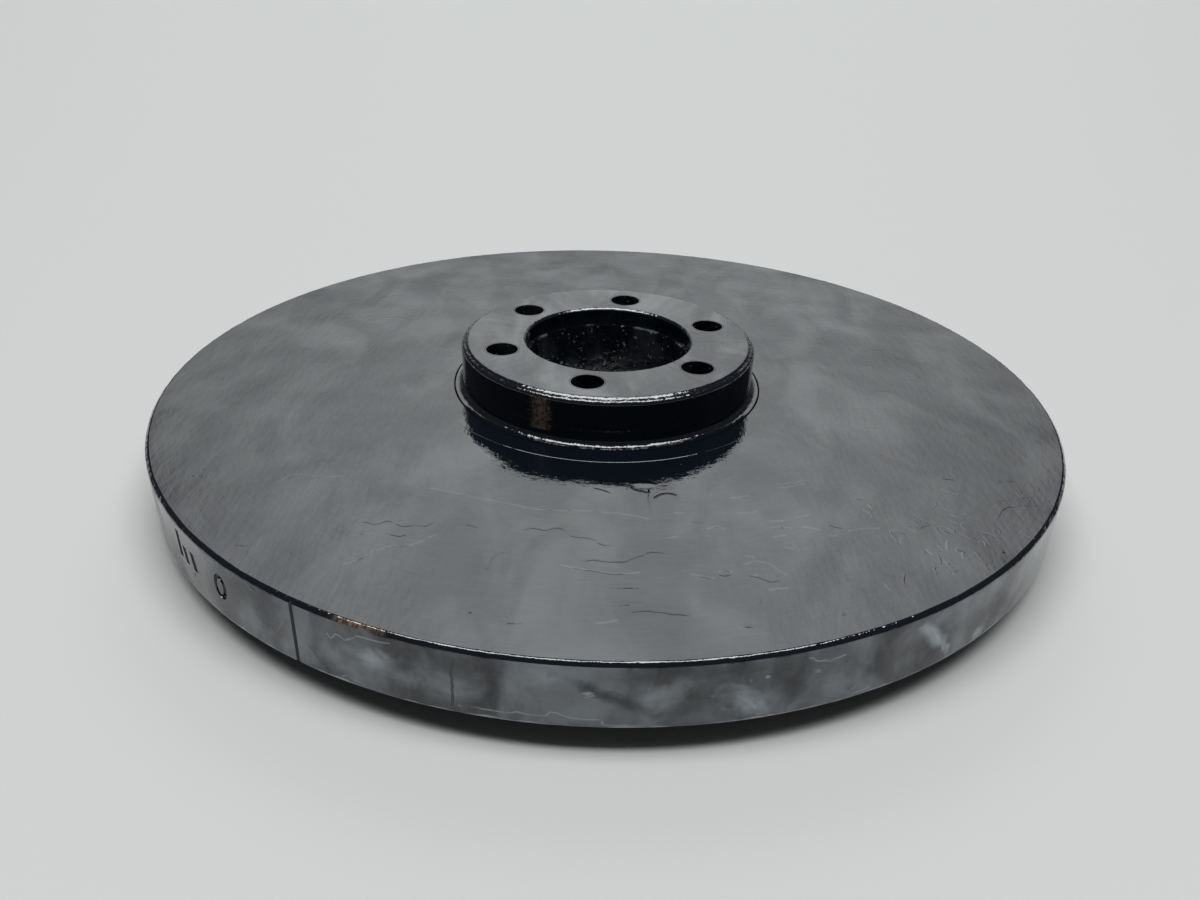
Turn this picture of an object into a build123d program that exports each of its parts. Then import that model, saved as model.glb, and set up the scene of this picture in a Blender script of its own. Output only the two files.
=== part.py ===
from build123d import *
from math import radians, tan
import os

# Stack along the axis, from the rear seat to the disc's front face (millimetres)
rear_pad_height = 1.0
flange_thickness = 6.0
rubber_thickness = 4.0
disc_web_thickness = 10.0

# Inertia disc
disc_radius = 120.0
disc_rim_height = 15.0
disc_running_gap = 0.3
disc_rim_chamfer = 0.8
disc_rear_edge_break = 0.3
disc_recess_chamfer = 1.5
disc_recess_clearance = 3.0

# Faint turned ring on the disc's front face
ring_line_radius = 48.0
ring_line_width = 0.5
ring_line_depth = 0.12

# Timing line scribed down the rim
timing_line_width = 0.7
timing_line_depth = 0.4
timing_line_angle = -119.1

# Balance drillings in the rear of the rim
balance_hole_radius = 5.0
balance_hole_depth = 5.0
balance_circle_radius = 108.0
balance_hole_count = 3
balance_hole_spacing_angle = 9.0
balance_middle_angle = 98.0
drill_point_angle = 118.0

# Hub boss in front of the disc
boss_radius = 40.0
boss_height = 12.5
boss_chamfer_width = 2.0
boss_chamfer_drop = 0.65
boss_foot_fillet = 1.5
shoulder_width = 2.1
gap_edge_break = 0.12

# Rear flange of the hub, which carries the rubber
flange_radius = 92.0
flange_edge_break = 0.5
flange_root_chamfer = 3.0
rear_pad_radius = 40.0
rear_pad_edge_break = 0.5

# Bore of the hub: a turned register at each end, left as forged between them
register_radius = 22.4
register_depth = 5.0
register_chamfer = 0.75
forged_bore_step = 0.7
forged_bore_edge_break = 0.35

# Six through holes for the hub bolts
bolt_circle_radius = 30.0
bolt_hole_radius = 4.2
bolt_hole_edge_break = 0.2
bolt_hole_count = 6
first_bolt_angle = 20.8

# Rubber ring bonded between flange and disc
rubber_inner_radius = 50.0
rubber_edge_hollow = 1.0

# How far every cutter runs past the face that it cuts
cut_overrun = 1.0

# Heights and radii that follow from the sizes above
flange_front = rear_pad_height + flange_thickness
web_rear = flange_front + rubber_thickness
disc_face = web_rear + disc_web_thickness
disc_rear = disc_face - disc_rim_height
boss_face = disc_face + boss_height
shoulder_radius = boss_radius + shoulder_width
disc_bore_radius = shoulder_radius + disc_running_gap
disc_recess_radius = flange_radius + disc_recess_clearance
forged_bore_radius = register_radius - forged_bore_step
rubber_outer_radius = flange_radius - flange_edge_break


def closed_section(points):
    """Face bounded by straight lines through (radius, height) points."""
    return make_face(Polyline(*points, close=True))


def turned(section):
    """Solid made by turning a (radius, height) section about the axis."""
    return revolve(Plane.XZ * section, axis=Axis.Z)


def make_hub():
    """Hub turned from one forging: boss, shoulder, rear flange and stepped bore."""
    mouth_radius = register_radius + register_chamfer
    section = closed_section(
        [
            (mouth_radius, 0),
            (rear_pad_radius - rear_pad_edge_break, 0),
            (rear_pad_radius, rear_pad_edge_break),
            (rear_pad_radius, rear_pad_height),
            (flange_radius - flange_edge_break, rear_pad_height),
            (flange_radius, rear_pad_height + flange_edge_break),
            (flange_radius, flange_front - flange_edge_break),
            (flange_radius - flange_edge_break, flange_front),
            (shoulder_radius + flange_root_chamfer, flange_front),
            (shoulder_radius, flange_front + flange_root_chamfer),
            (shoulder_radius, disc_face - gap_edge_break),
            (shoulder_radius - gap_edge_break, disc_face),
            (boss_radius, disc_face),
            (boss_radius, boss_face - boss_chamfer_drop),
            (boss_radius - boss_chamfer_width, boss_face),
            (mouth_radius, boss_face),
            (register_radius, boss_face - register_chamfer),
            (register_radius, boss_face - register_depth),
            (forged_bore_radius + forged_bore_edge_break, boss_face - register_depth),
            (forged_bore_radius, boss_face - register_depth - forged_bore_edge_break),
            (forged_bore_radius, register_depth + forged_bore_edge_break),
            (forged_bore_radius + forged_bore_edge_break, register_depth),
            (register_radius, register_depth),
            (register_radius, register_chamfer),
        ]
    )
    boss_foot = section.vertices().sort_by_distance((boss_radius, disc_face))[0]
    section = fillet(boss_foot, radius=boss_foot_fillet)
    return turned(section) - make_bolt_hole_cutters()


def make_bolt_hole_cutters():
    """Six drills on the bolt circle, each with both mouths broken."""
    mouth_radius = bolt_hole_radius + bolt_hole_edge_break
    drill = closed_section(
        [
            (0, -cut_overrun),
            (mouth_radius, -cut_overrun),
            (mouth_radius, 0),
            (bolt_hole_radius, bolt_hole_edge_break),
            (bolt_hole_radius, boss_face - bolt_hole_edge_break),
            (mouth_radius, boss_face),
            (mouth_radius, boss_face + cut_overrun),
            (0, boss_face + cut_overrun),
        ]
    )
    places = PolarLocations(
        bolt_circle_radius, bolt_hole_count, start_angle=first_bolt_angle
    )
    return [place * turned(drill) for place in places]


def make_rubber_ring():
    """Flat rubber ring whose free edges hollow inwards, as moulded rubber does."""
    middle = (flange_front + web_rear) / 2
    section = closed_section(
        [
            (rubber_inner_radius, flange_front),
            (rubber_outer_radius, flange_front),
            (rubber_outer_radius - rubber_edge_hollow, middle),
            (rubber_outer_radius, web_rear),
            (rubber_inner_radius, web_rear),
            (rubber_inner_radius + rubber_edge_hollow, middle),
        ]
    )
    return turned(section)


def make_inertia_disc():
    """Heavy disc: thin web over the rubber, full height at the rim."""
    section = closed_section(
        [
            (disc_bore_radius, web_rear),
            (disc_recess_radius - disc_recess_chamfer, web_rear),
            (disc_recess_radius, web_rear - disc_recess_chamfer),
            (disc_recess_radius, disc_rear),
            (disc_radius - disc_rear_edge_break, disc_rear),
            (disc_radius, disc_rear + disc_rear_edge_break),
            (disc_radius, disc_face - disc_rim_chamfer),
            (disc_radius - disc_rim_chamfer, disc_face),
            (ring_line_radius + ring_line_width / 2, disc_face),
            (ring_line_radius, disc_face - ring_line_depth),
            (ring_line_radius - ring_line_width / 2, disc_face),
            (disc_bore_radius + gap_edge_break, disc_face),
            (disc_bore_radius, disc_face - gap_edge_break),
        ]
    )
    return turned(section) - make_timing_line_cutter() - make_balance_drills()


def make_timing_line_cutter():
    """Three-sided graver that scribes the timing line down the whole rim."""
    half_width = timing_line_width / 2
    outside = disc_radius + cut_overrun
    widening = half_width * (cut_overrun + timing_line_depth) / timing_line_depth
    profile = make_face(
        Polyline(
            (disc_radius - timing_line_depth, 0),
            (outside, widening),
            (outside, -widening),
            close=True,
        )
    )
    graver = extrude(profile, amount=disc_rim_height + 2 * cut_overrun)
    place = Pos(0, 0, disc_rear - cut_overrun)
    return Rot(0, 0, timing_line_angle) * place * graver


def make_balance_drills():
    """Drill with a conical point at each balance place in the rear of the rim."""
    point = Cone(
        bottom_radius=balance_hole_radius,
        top_radius=0,
        height=balance_hole_radius / tan(radians(drill_point_angle / 2)),
        align=(Align.CENTER, Align.CENTER, Align.MIN),
    )
    shank = Cylinder(
        radius=balance_hole_radius,
        height=balance_hole_depth + cut_overrun,
        align=(Align.CENTER, Align.CENTER, Align.MAX),
    )
    drill = Pos(0, 0, disc_rear + balance_hole_depth) * (point + shank)
    first_angle = balance_middle_angle - balance_hole_spacing_angle * (balance_hole_count - 1) / 2
    return [
        Rot(0, 0, first_angle + balance_hole_spacing_angle * step)
        * Pos(balance_circle_radius, 0, 0)
        * drill
        for step in range(balance_hole_count)
    ]


def write_parts(parts):
    """Write each piece to its own STEP file, named for the piece."""
    os.makedirs("parts", exist_ok=True)
    for name, piece in parts.items():
        export_step(piece, f"parts/{name}.step")
        print(name, "volume", round(piece.volume), "cubic millimetres")


write_parts(
    {
        "hub": make_hub(),
        "rubber_ring": make_rubber_ring(),
        "inertia_disc": make_inertia_disc(),
    }
)
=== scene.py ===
# %% [markdown]
# # Painting and dressing a harmonic balancer
#
# A harmonic balancer is the heavy disc on the front end of a crankshaft. This one is a steel disc
# bonded by rubber to a steel hub, and somebody has brushed gloss black enamel all over it.
# The solids already exist at their real size. This notebook builds finer versions of them with the
# same form, adds the flaws in the paint, and gives every surface its finish.

# %% The frame
import math
import random
import bmesh
import bpy
from mathutils import Matrix, Vector


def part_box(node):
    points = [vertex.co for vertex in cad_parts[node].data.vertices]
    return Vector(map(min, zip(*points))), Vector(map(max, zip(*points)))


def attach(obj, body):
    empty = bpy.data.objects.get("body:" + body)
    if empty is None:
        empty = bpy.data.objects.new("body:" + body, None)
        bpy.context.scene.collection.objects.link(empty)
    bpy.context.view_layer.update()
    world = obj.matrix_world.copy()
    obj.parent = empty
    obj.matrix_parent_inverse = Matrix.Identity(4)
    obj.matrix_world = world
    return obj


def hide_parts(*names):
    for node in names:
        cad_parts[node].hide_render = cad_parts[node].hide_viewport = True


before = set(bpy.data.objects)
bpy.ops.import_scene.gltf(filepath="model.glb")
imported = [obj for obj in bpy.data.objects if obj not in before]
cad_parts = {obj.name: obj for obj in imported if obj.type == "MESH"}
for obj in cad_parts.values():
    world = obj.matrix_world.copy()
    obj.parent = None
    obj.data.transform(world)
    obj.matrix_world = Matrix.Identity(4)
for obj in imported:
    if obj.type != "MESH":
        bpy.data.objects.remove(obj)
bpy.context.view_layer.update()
MM = 0.001

# %% [markdown]
# ## Sizes read from the solids
#
# Every piece here sits where the solids say, so the main sizes are read from their boxes. Sizes that a
# box can't tell, such as the bore or the gap, are named below in millimetres times MM.

# %% Sizes
_, hub_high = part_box("hub")
disc_low, disc_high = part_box("inertia_disc")
rubber_low, rubber_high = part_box("rubber_ring")

paint_bead_room = 0.12 * MM
disc_radius = 120.0 * MM - paint_bead_room
disc_face = disc_high.z
disc_rear = disc_low.z
boss_face = hub_high.z
flange_front = rubber_low.z
web_rear = rubber_high.z

rear_pad_height = 1.0 * MM
rear_pad_radius = 40.0 * MM
flange_radius = 92.0 * MM
boss_radius = 40.0 * MM
boss_chamfer_width = 2.0 * MM
boss_chamfer_drop = 0.65 * MM
shoulder_radius = 42.1 * MM
disc_bore_radius = 42.4 * MM
disc_recess_radius = 95.0 * MM
register_radius = 22.4 * MM
register_depth = 5.0 * MM
register_chamfer = 0.75 * MM
forged_bore_radius = 21.7 * MM
print("disc face at", round(disc_face / MM, 2), "boss face at", round(boss_face / MM, 2))

# %% [markdown]
# ## Camera
#
# The camera comes first, because flaws in the paint are placed by where they show in the photograph.
# Its distance, height and tilt were worked out from the circles that share the part's axis: each
# circle turns into an ellipse whose place and flatness depend on where the camera stood. The image
# is taken as 1200 by 900 pixels.

# %% Camera
image_width, image_height = 1200, 900
focal_pixels = 985.8
sensor_width = 36.0
camera_distance = 277.5 * MM
camera_elevation = math.radians(24.48)
camera_dip = math.radians(4.16)
camera_pan = math.radians(0.27)
camera_roll = math.radians(1.77)

aim = Vector((0, 0, disc_face))
camera_place = aim + camera_distance * Vector((0, -math.cos(camera_elevation), math.sin(camera_elevation)))
forward = (aim - camera_place).normalized()
right = forward.cross(Vector((0, 0, 1))).normalized()
looking_at_aim = Matrix((right, forward.cross(right), forward))
turned_aside = (
    Matrix.Rotation(camera_roll, 3, "Z")
    @ Matrix.Rotation(camera_dip, 3, "X")
    @ Matrix.Rotation(camera_pan, 3, "Y")
    @ looking_at_aim
)

bpy.ops.object.select_all(action="DESELECT")
bpy.ops.object.camera_add(location=camera_place)
camera = bpy.context.object
camera.name = "camera"
camera.data.sensor_width = sensor_width
camera.data.lens = focal_pixels / image_width * sensor_width
camera.data.clip_start = 0.01
camera.data.clip_end = 100.0
camera.matrix_world = Matrix.Translation(camera_place) @ Matrix(
    (turned_aside[0], -turned_aside[1], -turned_aside[2])
).transposed().to_4x4()
bpy.context.scene.camera = camera
print("lens in mm", round(camera.data.lens, 2))


def sight_line(pixel):
    """Direction from the camera through a pixel of the photograph."""
    across = (pixel[0] - image_width / 2) / focal_pixels
    down = (pixel[1] - image_height / 2) / focal_pixels
    return turned_aside.transposed() @ Vector((across, down, 1))


def on_face(pixel):
    """Point of the disc's front face that shows at a pixel."""
    ray = sight_line(pixel)
    return camera_place + ray * ((disc_face - camera_place.z) / ray.z)


def on_rim(pixel):
    """Point of the disc's rim that shows at a pixel."""
    ray = sight_line(pixel)
    a = ray.x**2 + ray.y**2
    b = camera_place.x * ray.x + camera_place.y * ray.y
    c = camera_place.x**2 + camera_place.y**2 - disc_radius**2
    return camera_place + ray * ((-b - math.sqrt(max(b * b - a * c, 0))) / a)


# %% [markdown]
# ## Turning a profile
#
# All steel pieces of the part are turned on a lathe. By hand one would add a circle, extrude its edges,
# scale the new ring and move it up or down, once for each corner of the profile. The helper below does
# just that. Corners are then rounded with a bevel, because no real edge is perfectly sharp and the
# rounding is what catches the light.

# %% Turn a profile
def alone(piece):
    """Selects one piece and makes it active."""
    bpy.ops.object.select_all(action="DESELECT")
    piece.select_set(True)
    bpy.context.view_layer.objects.active = piece


def turn_profile(name, profile, segments):
    """Closed ring-shaped mesh from a list of (radius, height) corners."""
    bpy.ops.object.select_all(action="DESELECT")
    radius, height = profile[0]
    bpy.ops.mesh.primitive_circle_add(vertices=segments, radius=radius, location=(0, 0, height))
    piece = bpy.context.object
    piece.name = piece.data.name = name
    bpy.ops.object.transform_apply(location=True)
    bpy.ops.object.mode_set(mode="EDIT")
    bpy.ops.mesh.select_all(action="SELECT")
    for new_radius, new_height in [*profile[1:], profile[0]]:
        bpy.ops.mesh.extrude_edges_move()
        spread = new_radius / radius
        bpy.ops.transform.resize(value=(spread, spread, 1), center_override=(0, 0, height))
        bpy.ops.transform.translate(value=(0, 0, new_height - height))
        radius, height = new_radius, new_height
    bpy.ops.mesh.select_all(action="SELECT")
    bpy.ops.mesh.remove_doubles(threshold=0.002 * MM)
    bpy.ops.mesh.normals_make_consistent(inside=False)
    bpy.ops.object.mode_set(mode="OBJECT")
    return piece


# %% [markdown]
# ## Corners, cuts and shading
#
# Four more helpers finish what the lathe made: one bevels chosen rings of edges, one cuts with a
# boolean, one selects the end of a cutter, and one shades smoothly while flat faces stay flat. Shade
# smooth alone would darken flat faces beside a bevel, so weighted normals follow it.

# %% Round corners, cut and shade
def round_corners(piece, corners, width, steps=3):
    """Bevels the rings of edges that lie at the given (radius, height) corners."""
    alone(piece)
    bpy.ops.object.mode_set(mode="EDIT")
    bpy.ops.mesh.select_mode(type="EDGE")
    bpy.ops.mesh.select_all(action="DESELECT")
    mesh = bmesh.from_edit_mesh(piece.data)
    near = 0.02 * MM
    for edge in mesh.edges:
        for radius, height in corners:
            if all(
                abs(v.co.xy.length - radius) < near and abs(v.co.z - height) < near
                for v in edge.verts
            ):
                edge.select_set(True)
    bmesh.update_edit_mesh(piece.data)
    bpy.ops.mesh.bevel(offset=width, segments=steps, profile=0.5, affect="EDGES")
    bpy.ops.object.mode_set(mode="OBJECT")


def cut_away(piece, cutter):
    """Takes the cutter's shape out of the piece and deletes the cutter."""
    alone(piece)
    cut = piece.modifiers.new("cut", "BOOLEAN")
    cut.operation = "DIFFERENCE"
    cut.solver = "EXACT"
    cut.object = cutter
    bpy.ops.object.modifier_apply(modifier=cut.name)
    bpy.data.objects.remove(cutter)


def select_end(piece, side):
    """In edit mode, selects only the faces that look up (side 1) or down (side -1)."""
    bpy.ops.mesh.select_all(action="DESELECT")
    mesh = bmesh.from_edit_mesh(piece.data)
    for face in mesh.faces:
        face.select_set(face.normal.z * side > 0.9)
    bmesh.update_edit_mesh(piece.data)


def finish_shading(piece, sharp_angle=35):
    """Smooth shading, with flat faces kept flat by weighted normals."""
    alone(piece)
    bpy.ops.object.shade_smooth_by_angle(angle=math.radians(sharp_angle))
    weighted = piece.modifiers.new("flat faces lead", "WEIGHTED_NORMAL")
    weighted.weight = 100
    weighted.keep_sharp = True
    bpy.ops.object.modifier_apply(modifier=weighted.name)


# %% [markdown]
# ## The inertia disc
#
# The disc is one heavy turning: a thin web in the middle, a recess behind it for rubber and flange,
# and a full-height rim. It replaces the plain solid with many more segments, so that a gloss finish
# shows no flats on the rim. The front edge has a chamfer, and a narrow tool mark rings the hub.

# %% Turn the disc
disc_segments = 512
rim_chamfer = 0.8 * MM
rear_edge_break = 0.3 * MM
gap_edge_break = 0.12 * MM
recess_chamfer = 1.5 * MM
ring_line_radius = 48.0 * MM
ring_line_half_width = 0.07 * MM
ring_line_depth = 0.05 * MM

disc = turn_profile(
    "painted_disc",
    [
        (disc_bore_radius, web_rear),
        (disc_recess_radius - recess_chamfer, web_rear),
        (disc_recess_radius, web_rear - recess_chamfer),
        (disc_recess_radius, disc_rear),
        (disc_radius - rear_edge_break, disc_rear),
        (disc_radius, disc_rear + rear_edge_break),
        (disc_radius, disc_face - rim_chamfer),
        (disc_radius - rim_chamfer, disc_face),
        (ring_line_radius + ring_line_half_width, disc_face),
        (ring_line_radius, disc_face - ring_line_depth),
        (ring_line_radius - ring_line_half_width, disc_face),
        (disc_bore_radius + gap_edge_break, disc_face),
        (disc_bore_radius, disc_face - gap_edge_break),
    ],
    disc_segments,
)
round_corners(
    disc,
    [(disc_radius, disc_face - rim_chamfer), (disc_radius - rim_chamfer, disc_face)],
    0.3 * MM,
    5,
)
round_corners(
    disc,
    [(disc_radius - rear_edge_break, disc_rear), (disc_radius, disc_rear + rear_edge_break)],
    0.12 * MM,
    3,
)
print("disc faces", len(disc.data.polygons))

# %% [markdown]
# ## The tool mark fades out
#
# The lathe left a fine ring on the face, and paint has filled it except in front of the hub. Only an arc
# could be cut, but a whole ring is simpler to turn. So the vertices at its bottom are lifted again, the
# more so the farther they lie from the front.

# %% Fade the tool mark
ring_line_reach = math.radians(66)
ring_line_fade = math.radians(34)


def in_tool_mark(spot):
    beside = abs(spot.xy.length - ring_line_radius)
    return beside < ring_line_half_width / 2 and spot.z > web_rear + MM


tool_mark = [v for v in disc.data.vertices if in_tool_mark(v.co)]
for v in tool_mark:
    off_front = abs(math.atan2(v.co.x, -v.co.y))
    open_share = max(0.0, min(1.0, (ring_line_reach - off_front) / ring_line_fade))
    v.co.z = disc_face - ring_line_depth * open_share
print("vertices of the tool mark", len(tool_mark))

# %% [markdown]
# ## The hub
#
# Boss, shoulder, flange and bore are one forging, turned where something seats. Between the two turned
# registers the bore is left as forged, so rings are added there to give the rough skin something to
# move. The six bolt holes are drilled after the turning, as in the workshop.

# %% Turn the hub
hub_segments = 384
foot_fillet = 1.5 * MM
foot_fillet_steps = 6
flange_edge_break = 0.5 * MM
flange_root_chamfer = 3.0 * MM
rear_pad_edge_break = 0.5 * MM
forged_edge_break = 0.35 * MM
forged_rows = 40

worn_chamfer_drop = boss_chamfer_drop + 0.25 * MM
fat_edge_radius = boss_radius - boss_chamfer_width
fat_edge_height = 0.05 * MM
fat_edge_steps = [
    (0.95, 0.47), (0.8, 0.40), (0.68, 0.33), (0.5, 0.205), (0.34, 0.095), (0.22, 0.034), (0.1, 0.008),
    (0, 0), (-0.1, 0.012), (-0.22, 0.05),
]
fat_edge = [
    (fat_edge_radius + out * MM, boss_face - drop * MM)
    for out, drop in fat_edge_steps
]
mouth_radius = register_radius + register_chamfer
mouth_middle_radius = register_radius + 0.17 * MM
mouth_middle_drop = 0.45 * MM
forged_top = boss_face - register_depth - forged_edge_break
forged_bottom = register_depth + forged_edge_break
forged_wall = [
    (forged_bore_radius, forged_top + (forged_bottom - forged_top) * row / forged_rows)
    for row in range(forged_rows + 1)
]
foot_arc = [
    (
        boss_radius + foot_fillet * (1 - math.sin(turn)),
        disc_face + foot_fillet * (1 - math.cos(turn)),
    )
    for turn in (math.pi / 2 * step / foot_fillet_steps for step in range(foot_fillet_steps + 1))
]
hub = turn_profile(
    "painted_hub",
    [
        (mouth_radius, 0),
        (rear_pad_radius - rear_pad_edge_break, 0),
        (rear_pad_radius, rear_pad_edge_break),
        (rear_pad_radius, rear_pad_height),
        (flange_radius - flange_edge_break, rear_pad_height),
        (flange_radius, rear_pad_height + flange_edge_break),
        (flange_radius, flange_front - flange_edge_break),
        (flange_radius - flange_edge_break, flange_front),
        (shoulder_radius + flange_root_chamfer, flange_front),
        (shoulder_radius, flange_front + flange_root_chamfer),
        (shoulder_radius, disc_face - gap_edge_break),
        (shoulder_radius - gap_edge_break, disc_face),
        *foot_arc,
        (boss_radius, boss_face - worn_chamfer_drop),
        *fat_edge,
        (mouth_radius, boss_face - fat_edge_height),
        (mouth_middle_radius, boss_face - mouth_middle_drop),
        (register_radius, boss_face - register_chamfer),
        (register_radius, boss_face - register_depth),
        (forged_bore_radius + 0.1 * MM, boss_face - register_depth),
        *forged_wall,
        (forged_bore_radius + forged_edge_break, register_depth),
        (register_radius, register_depth),
        (register_radius, register_chamfer),
    ],
    hub_segments,
)
round_corners(hub, [(boss_radius, boss_face - worn_chamfer_drop)], 0.75 * MM, 8)
round_corners(
    hub,
    [
        (mouth_radius, boss_face - fat_edge_height),
        (mouth_middle_radius, boss_face - mouth_middle_drop),
        (register_radius, boss_face - register_chamfer),
    ],
    0.13 * MM,
    3,
)
print("hub faces", len(hub.data.polygons))

# %% [markdown]
# ## The forged skin
#
# Between the registers nobody machined the bore, so it keeps the scaly skin of the forging. It could be
# sculpted, but a displace modifier with a cloud texture gives an even scale all round, and a vertex
# group keeps it off the turned faces.

# %% Roughen the forged bore
forged_skin = hub.vertex_groups.new(name="forged")
forged_vertices = [
    v.index
    for v in hub.data.vertices
    if v.co.xy.length < register_radius + 0.05 * MM
    and forged_bottom < v.co.z < boss_face - register_depth + 0.2 * MM
]
forged_skin.add(forged_vertices, 1.0, "REPLACE")
scale_lumps = bpy.data.textures.new("forging scale", "CLOUDS")
scale_lumps.noise_scale = 1.1 * MM
scale_lumps.noise_depth = 3
alone(hub)
roughen = hub.modifiers.new("forged skin", "DISPLACE")
roughen.texture = scale_lumps
roughen.texture_coords = "LOCAL"
roughen.vertex_group = forged_skin.name
roughen.strength = 0.1 * MM
roughen.mid_level = 0.5
bpy.ops.object.modifier_apply(modifier=roughen.name)
print("forged bore vertices moved", len(forged_vertices))

# %% [markdown]
# ## Paint that pools
#
# Wet enamel draws back from sharp edges and gathers beside them, so a painted edge is never an even
# line. The same modifier is used again, on the vertices of one edge at a time. Sculpting would do it
# too, but not the same way on each run.

# %% Let the paint pool on the hub's edges
def uneven(piece, name, lump_size, strength, wanted):
    """Moves the wanted vertices in and out by soft noise, as brushed paint pools on edges."""
    group = piece.vertex_groups.new(name=name)
    chosen = [v.index for v in piece.data.vertices if wanted(v.co.xy.length, v.co.z)]
    group.add(chosen, 1.0, "REPLACE")
    lumps = bpy.data.textures.new(name, "CLOUDS")
    lumps.noise_scale = lump_size
    lumps.noise_depth = 2
    alone(piece)
    push = piece.modifiers.new(name, "DISPLACE")
    push.texture = lumps
    push.texture_coords = "LOCAL"
    push.vertex_group = group.name
    push.strength = strength
    push.mid_level = 0.5
    bpy.ops.object.modifier_apply(modifier=push.name)
    print(name, "moved", len(chosen), "vertices")


def on_boss_chamfer(radius, height):
    outside = radius > boss_radius - boss_chamfer_width + 0.1 * MM
    return outside and height > boss_face - worn_chamfer_drop - 0.5 * MM


def on_foot_fillet(radius, height):
    inside = boss_radius + 0.05 * MM < radius < boss_radius + foot_fillet
    return inside and disc_face < height < disc_face + foot_fillet


def on_bore_mouth(radius, height):
    return radius < mouth_radius + 0.4 * MM and height > boss_face - register_chamfer - 0.3 * MM


mouth_lump, mouth_strength = 1.4 * MM, 0.12 * MM
chamfer_lump, chamfer_strength = 2.2 * MM, 0.06 * MM
foot_lump, foot_strength = 1.1 * MM, 0.22 * MM
uneven(hub, "pooled mouth", mouth_lump, mouth_strength, on_bore_mouth)
uneven(hub, "pooled chamfer", chamfer_lump, chamfer_strength, on_boss_chamfer)
uneven(hub, "pooled foot", foot_lump, foot_strength, on_foot_fillet)

# %% [markdown]
# ## Bolt holes
#
# Six bolts hold the hub to the crankshaft. Each drill is a cylinder whose ends widen in a small quarter
# round, which leaves a broken edge at both mouths. The cutter could be repeated with an array, but six
# separate cuts are easier to follow.

# %% Drill the bolt holes
bolt_circle_radius = 30.0 * MM
bolt_hole_radius = 4.2 * MM
bolt_hole_edge_round = 0.2 * MM
bolt_hole_count = 6
first_bolt_angle = math.radians(20.8)
quarter_turn = [math.pi / 6 * step for step in range(4)]
overrun = 1.0 * MM

hole_axes = []
for hole in range(bolt_hole_count):
    angle = first_bolt_angle + hole * math.tau / bolt_hole_count
    hole_axes.append(bolt_circle_radius * Vector((math.cos(angle), math.sin(angle))))
for axis in hole_axes:
    bpy.ops.object.select_all(action="DESELECT")
    bpy.ops.mesh.primitive_cylinder_add(
        vertices=64, radius=bolt_hole_radius, depth=boss_face, location=(0, 0, boss_face / 2)
    )
    drill = bpy.context.object
    bpy.ops.object.transform_apply(location=True)
    bpy.ops.object.mode_set(mode="EDIT")
    bpy.ops.mesh.select_mode(type="FACE")
    for end, side in ((boss_face, 1), (0, -1)):
        select_end(drill, side)
        bpy.ops.transform.translate(value=(0, 0, -side * bolt_hole_edge_round))
        for before, after in zip(quarter_turn, quarter_turn[1:]):
            rise = bolt_hole_edge_round * (math.sin(after) - math.sin(before))
            narrow = bolt_hole_radius + bolt_hole_edge_round * (1 - math.cos(before))
            wide = bolt_hole_radius + bolt_hole_edge_round * (1 - math.cos(after))
            spread = wide / narrow
            bpy.ops.mesh.extrude_region_move(TRANSFORM_OT_translate={"value": (0, 0, side * rise)})
            bpy.ops.transform.resize(value=(spread, spread, 1), center_override=(0, 0, end))
        bpy.ops.mesh.extrude_region_move(TRANSFORM_OT_translate={"value": (0, 0, side * overrun)})
    bpy.ops.object.mode_set(mode="OBJECT")
    drill.location = (axis.x, axis.y, 0)
    bpy.ops.object.transform_apply(location=True)
    cut_away(hub, drill)
finish_shading(hub)
print("hub with its holes, faces", len(hub.data.polygons))

# %% [markdown]
# ## Balance drillings
#
# Such a disc is spun, and metal is drilled out of its rear where it is too heavy. Three shallow holes
# stand for that. The drill is a cylinder whose end is extruded and merged to a point.

# %% Drill the rear for balance
balance_hole_radius = 5.0 * MM
balance_hole_depth = 5.0 * MM
balance_circle_radius = 108.0 * MM
balance_angles = [math.radians(degrees) for degrees in (89, 98, 107)]
half_point_angle = math.radians(59)
drill_point = balance_hole_radius / math.tan(half_point_angle)
shank = balance_hole_depth + overrun
for angle in balance_angles:
    bpy.ops.object.select_all(action="DESELECT")
    bpy.ops.mesh.primitive_cylinder_add(vertices=48, radius=balance_hole_radius, depth=shank)
    drill = bpy.context.object
    bpy.ops.object.mode_set(mode="EDIT")
    bpy.ops.mesh.select_mode(type="FACE")
    select_end(drill, 1)
    bpy.ops.mesh.extrude_region_move(TRANSFORM_OT_translate={"value": (0, 0, drill_point)})
    bpy.ops.mesh.merge(type="CENTER")
    bpy.ops.object.mode_set(mode="OBJECT")
    drill.location = (
        balance_circle_radius * math.cos(angle),
        balance_circle_radius * math.sin(angle),
        disc_rear + balance_hole_depth - shank / 2,
    )
    bpy.ops.object.transform_apply(location=True)
    cut_away(disc, drill)
print("disc with balance drillings, faces", len(disc.data.polygons))

# %% [markdown]
# ## Timing line and scale marks
#
# A scribed line up the rim shows top dead centre. Beside it there are a few plain scale strokes and a
# nought, struck with punches before painting, so their edges are soft. They are cut with vee-shaped
# bars and a stretched ring.

# %% Scribe the rim
timing_line_angle = -119.1
timing_line_width = 0.95 * MM
timing_line_depth = 0.55 * MM
stroke_width = 1.85 * MM
stroke_depth = 0.9 * MM
scale_strokes = [
    ((-138.9, 2.3), (-138.6, 8.5)),
    ((-137.4, 5.0), (-137.1, 8.9)),
    ((-135.6, 4.6), (-135.1, 8.9)),
]
nought_angle, nought_drop = -130.0, 7.1 * MM
nought_half_width, nought_half_height = 1.7 * MM, 2.5 * MM
nought_line = 0.6 * MM
plain_ring_radius = 1.0 * MM


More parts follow.
